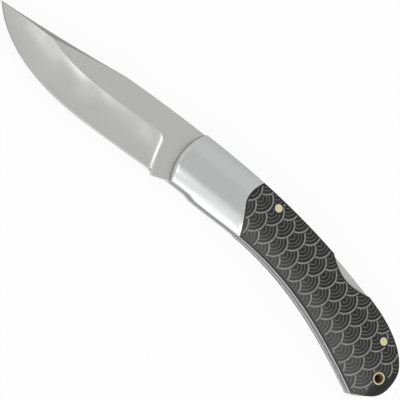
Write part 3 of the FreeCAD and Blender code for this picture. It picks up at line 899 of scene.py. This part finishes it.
def make_scale_material(name, specular, least_rough, most_rough, painted_sheen):
    # Black, with a painted sheen that makes it paler towards the belly, but not at the butt
    material, nodes, links = new_material(name)
    shader = nodes["Principled BSDF"]
    shader.inputs["Specular IOR Level"].default_value = specular
    place = nodes.new("ShaderNodeTexCoord")
    least = nodes.new("ShaderNodeMath")
    least.operation = "MINIMUM"
    links.new(least.outputs["Value"], shader.inputs["Base Color"])
    for socket, fall in zip(least.inputs, (PAINTED_SHEEN_TO_SPINE, PAINTED_SHEEN_TO_BUTT)):
        along = nodes.new("ShaderNodeVectorMath")
        along.operation = "DOT_PRODUCT"
        along.inputs[1].default_value = fall.way
        shade = nodes.new("ShaderNodeMapRange")
        shade.inputs["From Min"].default_value = fall.full * MM
        shade.inputs["From Max"].default_value = fall.gone * MM
        shade.inputs["To Min"].default_value = painted_sheen
        shade.inputs["To Max"].default_value = SCALE_BLACK
        links.new(place.outputs["Object"], along.inputs[0])
        links.new(along.outputs["Value"], shade.inputs["Value"])
        links.new(shade.outputs["Result"], socket)
    rough = streaks(nodes, links, SCALE_MOTTLE, least_rough, most_rough)
    links.new(rough, shader.inputs["Roughness"])
    return material


def make_wave_material(weight):
    # Pale lines with darker and lighter spots
    material, nodes, links = new_material(f"wave_{weight}")
    shader = nodes["Principled BSDF"]
    shader.inputs["Specular IOR Level"].default_value = WAVE_SPECULAR
    shader.inputs["Roughness"].default_value = WAVE_ROUGHNESS
    spots = streaks(nodes, links, WAVE_MOTTLE)
    colour = nodes.new("ShaderNodeMix")
    colour.data_type = "RGBA"
    for socket, share in WAVE_SPOT_SHARES.items():
        shade = share * WAVE_SHADES[weight]
        colour.inputs[socket].default_value = (*(shade * tint for tint in WAVE_TINT), 1)
    links.new(spots, colour.inputs["Factor"])
    links.new(colour.outputs["Result"], shader.inputs["Base Color"])
    return material


# Camera: above the show side as in the photograph, turned in the plane and a little towards belly and tip

IN_PLANE_TURN = math.radians(36.5)
TILT = math.radians(18.5)
FRAME_WIDTH = 0.142
LENS_MM = 1400.0
SENSOR_MM = 36.0
VIEW_CENTRE = Vector((-0.00165, 0.0106, 0.0065))
VIEW_SHIFT_RIGHT = -0.00178
VIEW_SHIFT_UP = -0.00994


def camera_axes():
    in_plane_right = Vector((math.cos(IN_PLANE_TURN), math.sin(IN_PLANE_TURN), 0))
    up = Vector((-math.sin(IN_PLANE_TURN), math.cos(IN_PLANE_TURN), 0))
    vertical = Vector((0, 0, 1))
    right = math.cos(TILT) * in_plane_right + math.sin(TILT) * vertical
    back = math.cos(TILT) * vertical - math.sin(TILT) * in_plane_right
    return right, up, back


def make_camera():
    right, up, back = camera_axes()
    centre = VIEW_CENTRE + VIEW_SHIFT_RIGHT * right + VIEW_SHIFT_UP * up
    data = bpy.data.cameras.new("camera")
    data.lens = LENS_MM
    data.sensor_width = SENSOR_MM
    distance_back = FRAME_WIDTH * LENS_MM / SENSOR_MM
    camera = bpy.data.objects.new("camera", data)
    place = Matrix((right, up, back)).transposed().to_4x4()
    place.translation = centre + distance_back * back
    camera.matrix_world = place
    data.clip_end = 2 * distance_back
    bpy.context.scene.collection.objects.link(camera)
    bpy.context.scene.camera = camera


# Studio: a white floor, even grey light all round, and soft boxes that the steel and the scales mirror

FLOOR_SIZE = 12.0
FLOOR_GAP = 0.0002
FLOOR_COLOUR = (0.92, 0.92, 0.92)
FLOOR_ROUGHNESS = 0.9
FLOOR_WHITE_SHARE = 0.92
WORLD_LIGHT = 0.63

SoftBox = namedtuple("SoftBox", "place size power")
SOFT_BOXES = {
    "belly": SoftBox(place=(0.1, -0.485, 0.37), size=(0.2, 0.5), power=0.54),
    "scale": SoftBox(place=(0.27, -0.17, 0.42), size=(0.22, 0.16), power=0.27),
    "blade": SoftBox(place=(-0.04, -0.1, 0.45), size=(0.28, 0.09), power=0.135),
    "tip": SoftBox(place=(-0.24, 0.11, 0.42), size=(0.2, 0.3), power=0.19),
    "top": SoftBox(place=(0.2, 0.3, 0.45), size=(0.3, 0.35), power=0.026),
}


def make_floor():
    half = FLOOR_SIZE / 2
    corners_of_floor = [(-half, -half, 0), (half, -half, 0), (half, half, 0), (-half, half, 0)]
    mesh = bpy.data.meshes.new("floor")
    mesh.from_pydata(corners_of_floor, [], [(0, 1, 2, 3)])
    floor = bpy.data.objects.new("floor", mesh)
    floor.location.z = -FLOOR_GAP
    bpy.context.scene.collection.objects.link(floor)
    mesh.materials.append(make_floor_material())


def make_floor_material():
    # Mostly white to the camera and in reflections, with some of the lit floor left for the shadow
    material, nodes, links = new_material("floor")
    shader = nodes["Principled BSDF"]
    shader.inputs["Base Color"].default_value = (*FLOOR_COLOUR, 1)
    shader.inputs["Roughness"].default_value = FLOOR_ROUGHNESS
    shader.inputs["Specular IOR Level"].default_value = 0.0
    white = nodes.new("ShaderNodeEmission")
    path = nodes.new("ShaderNodeLightPath")
    seen = path.outputs["Is Camera Ray"]
    for kind in ("Is Glossy Ray", "Is Transmission Ray"):
        either = nodes.new("ShaderNodeMath")
        either.operation = "MAXIMUM"
        links.new(seen, either.inputs[0])
        links.new(path.outputs[kind], either.inputs[1])
        seen = either.outputs[0]
    share = nodes.new("ShaderNodeMath")
    share.operation = "MULTIPLY"
    share.inputs[1].default_value = FLOOR_WHITE_SHARE
    mix = nodes.new("ShaderNodeMixShader")
    links.new(seen, share.inputs[0])
    links.new(share.outputs[0], mix.inputs[0])
    links.new(shader.outputs[0], mix.inputs[1])
    links.new(white.outputs[0], mix.inputs[2])
    links.new(mix.outputs[0], nodes["Material Output"].inputs["Surface"])
    return material


def make_world():
    world = bpy.data.worlds.new("studio")
    bpy.context.scene.world = world
    world.use_nodes = True
    background = world.node_tree.nodes["Background"]
    background.inputs["Color"].default_value = (1, 1, 1, 1)
    background.inputs["Strength"].default_value = WORLD_LIGHT


def make_lamp(name, box):
    # Turned towards the knife
    data = bpy.data.lights.new(name, "AREA")
    data.shape = "RECTANGLE"
    data.size, data.size_y = box.size
    data.energy = box.power
    lamp = bpy.data.objects.new(name, data)
    lamp.location = box.place
    lamp.rotation_euler = (-Vector(box.place)).to_track_quat("-Z", "Y").to_euler()
    bpy.context.scene.collection.objects.link(lamp)


# The scene

bpy.context.scene.view_settings.view_transform = "Standard"
make_camera()
make_floor()
make_world()
for box_name, soft_box in SOFT_BOXES.items():
    make_lamp(f"{box_name} soft box", soft_box)

blade_steel = make_blade_material()
facet_steel = metal(
    "facet_steel", colour=(0.45, 0.45, 0.45), roughness=0.4, stretch=GRAIN_ALONG_FACETS, grain=0.03,
)
bolster_steel = metal(
    "bolster_steel", colour=(0.7, 0.71, 0.71), roughness=0.2, stretch=GRAIN_ALONG_BOLSTER, grain=0.02,
)
# Pale and barely metallic: painted light on the bolster's front wall
bolster_front_painted_light = metal(
    "bolster_front_painted_light", colour=(0.8, 0.8, 0.8), roughness=0.5, stretch=GRAIN_ROUND_FRONT, grain=0.03,
    metallic=0.1,
)
frame_steel = metal(
    "frame_steel", colour=(0.62, 0.62, 0.61), roughness=0.4, stretch=GRAIN_ALONG_FRAME, grain=0.05,
    metallic=0.8,
)
liner_steel = metal(
    "liner_steel", colour=(0.54, 0.54, 0.54), roughness=0.5, stretch=GRAIN_ALONG_FRAME, grain=0.05,
    metallic=0.3,
)
spring_steel = metal(
    "spring_steel", colour=(0.5, 0.5, 0.5), roughness=0.35, stretch=GRAIN_ALONG_FRAME, grain=0.05,
)
pin_brass = metal(
    "pin_brass", BRASS, BRASS_ROUGHNESS, GRAIN_EVEN, BRASS_GRAIN, metallic=BRASS_METALLIC, depth=PIN_DEPTH,
)
tube_brass = make_tube_material()
washer_bronze = metal(
    "washer_bronze", colour=(0.7, 0.5, 0.3), roughness=0.35, stretch=GRAIN_EVEN, grain=0.05,
)
# Paler towards the belly by a painted sheen; the sanded edge has none
scale_black = make_scale_material(
    "scale_black", specular=0.52, least_rough=0.28, most_rough=0.36, painted_sheen=SCALE_PAINTED_SHEEN,
)
scale_edge = make_scale_material(
    "scale_edge", specular=0.1, least_rough=0.6, most_rough=0.75, painted_sheen=SCALE_BLACK,
)
wave_materials = {weight: make_wave_material(weight) for weight in WAVE_RINGS}

MATERIALS = {
    "blade_steel": blade_steel,
    "bolster_steel": bolster_steel,
    "frame_steel": frame_steel,
    "spring_steel": spring_steel,
    "scale_black": scale_black,
    "pin_brass": pin_brass,
    "washer_bronze": washer_bronze,
}
for subpart in frame["record"]["subparts"]:
    for material_slot in frame["nodes"][subpart["node"]].material_slots:
        material_slot.material = MATERIALS[subpart["material_slot"]]

frame["nodes"]["lanyard_tube"].material_slots[0].material = tube_brass
for side_name in SIDES:
    frame["nodes"][f"{side_name}_liner"].material_slots[0].material = liner_steel

make_blade()
for side_name, side_sign in SIDES.items():
    make_bolster(side_name, side_sign)
    make_scale(side_name, side_sign)
    for line_weight in WAVE_RINGS:
        make_waves(side_name, side_sign, line_weight)
